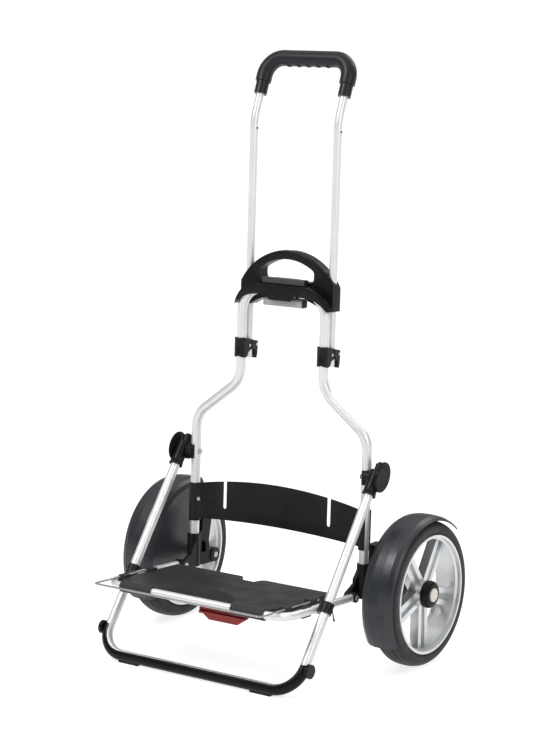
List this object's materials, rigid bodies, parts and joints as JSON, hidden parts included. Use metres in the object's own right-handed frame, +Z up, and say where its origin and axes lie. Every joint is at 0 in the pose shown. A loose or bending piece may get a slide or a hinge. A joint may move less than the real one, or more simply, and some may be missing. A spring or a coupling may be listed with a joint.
{
  "type": "folding two-wheeled cart",
  "caption": "Folding two-wheeled cart with a telescopic handle, swinging front leg loop, fold-up platform, large spoked wheels and fenders.",
  "frame": {"origin": "on the floor, at the middle of the cart's width and depth in its standing pose", "axes": "+X to the cart's right seen from behind the handle, +Y to the back (the wheel side), +Z up"},
  "size_m": [0.669, 0.546, 1.1936],
  "materials": {
    "tube_aluminium": "satin anodised",
    "black_plastic": "satin",
    "dark_plastic": "satin, fine grain",
    "grey_plastic": "satin",
    "fender_plastic": "satin blue-grey",
    "grip_rubber": "soft matt",
    "foot_rubber": "matt",
    "tyre_rubber": "matt with fine grooves",
    "rim_metal": "silver-painted nylon",
    "steel": "bright zinc",
    "black_steel": "black oxide",
    "red_plastic": "satin",
    "cream_plastic": "satin"
  },
  "bodies": {
    "frame": {"main_frame_tube": "tube_aluminium", "lower_bracket_left": "black_plastic", "lower_bracket_right": "black_plastic", "stub_axle_left": "steel", "stub_axle_right": "steel", "fender_left": "fender_plastic", "fender_right": "fender_plastic", "back_panel": "black_plastic", "panel_screws": "steel", "hood_cover": "black_plastic", "tube_guide_left": "black_plastic", "tube_guide_right": "black_plastic", "guide_rivets": "steel", "hinge_hub_left": "black_plastic", "hinge_hub_right": "black_plastic", "leg_pivot_bolt_left": "steel", "leg_pivot_bolt_right": "steel", "platform_pivot_bolt_left": "steel", "platform_pivot_bolt_right": "steel"},
    "handle": {"handle_tube": "tube_aluminium", "handle_grip": "grip_rubber", "handle_stop_pins": "black_steel"},
    "release": {"release_upper_bar": "dark_plastic", "release_lower_bar": "grey_plastic", "release_end_caps": "black_plastic", "release_links": "black_steel"},
    "leg": {"leg_tube": "tube_aluminium", "leg_socket_left": "black_plastic", "leg_socket_right": "black_plastic", "knob_cover_left": "black_plastic", "knob_cover_right": "black_plastic", "foot_cover": "black_plastic", "foot_pads": "foot_rubber", "leg_clip_left": "black_plastic", "leg_clip_right": "black_plastic"},
    "lock_left": {"lock_button_left": "black_plastic"},
    "lock_right": {"lock_button_right": "black_plastic"},
    "platform": {"platform_tube": "tube_aluminium", "platform_plate": "dark_plastic", "platform_eye_left": "black_plastic", "platform_eye_right": "black_plastic", "pedal_pin": "steel"},
    "wire": {"extension_wire": "steel"},
    "pedal": {"red_pedal": "red_plastic"},
    "wheel_left": {"tyre_left": "tyre_rubber", "wheel_rim_left": "rim_metal", "hub_cap_left": "black_plastic", "hub_disc_left": "cream_plastic", "wheel_bearings_left": "steel"},
    "wheel_right": {"tyre_right": "tyre_rubber", "wheel_rim_right": "rim_metal", "hub_cap_right": "black_plastic", "hub_disc_right": "cream_plastic", "wheel_bearings_right": "steel"}
  },
  "joints": [
    {"name": "handle_slide", "type": "slide", "parent": "frame", "child": "handle", "axis": [0, 0.0349, 0.9994], "range_m": [-0.27, 0]},
    {"name": "release_lift", "type": "slide", "parent": "frame", "child": "release", "axis": [0, 0.0349, 0.9994], "range_m": [0, 0.003], "stiffness_N_per_m": 900, "springref_m": -0.002},
    {"name": "leg_fold", "type": "hinge", "parent": "frame", "child": "leg", "pos_m": [0, 0.07107, 0.37527], "axis": [1, 0, 0], "range_deg": [0, 34]},
    {"name": "platform_fold", "type": "hinge", "parent": "frame", "child": "platform", "pos_m": [0, 0.02203, 0.1445], "axis": [-1, 0, 0], "range_deg": [0, 84]},
    {"name": "wire_slide", "type": "slide", "parent": "platform", "child": "wire", "axis": [0, 0.9986, -0.0523], "range_m": [0, 0.038]},
    {"name": "pedal_swing", "type": "hinge", "parent": "platform", "child": "pedal", "pos_m": [0, -0.11216, 0.14452], "axis": [1, 0, 0], "range_deg": [-20, 20]},
    {"name": "lock_left_press", "type": "slide", "parent": "leg", "child": "lock_left", "axis": [0, -0.592, -0.8059], "range_m": [0, 0.0025], "stiffness_N_per_m": 500, "springref_m": -0.001},
    {"name": "lock_right_press", "type": "slide", "parent": "leg", "child": "lock_right", "axis": [0, -0.592, -0.8059], "range_m": [0, 0.0025], "stiffness_N_per_m": 500, "springref_m": -0.001},
    {"name": "wheel_spin_left", "type": "hinge", "parent": "frame", "child": "wheel_left", "pos_m": [-0.298, 0.12803, 0.145], "axis": [1, 0, 0], "continuous": true},
    {"name": "wheel_spin_right", "type": "hinge", "parent": "frame", "child": "wheel_right", "pos_m": [0.298, 0.12803, 0.145], "axis": [1, 0, 0], "continuous": true}
  ]
}
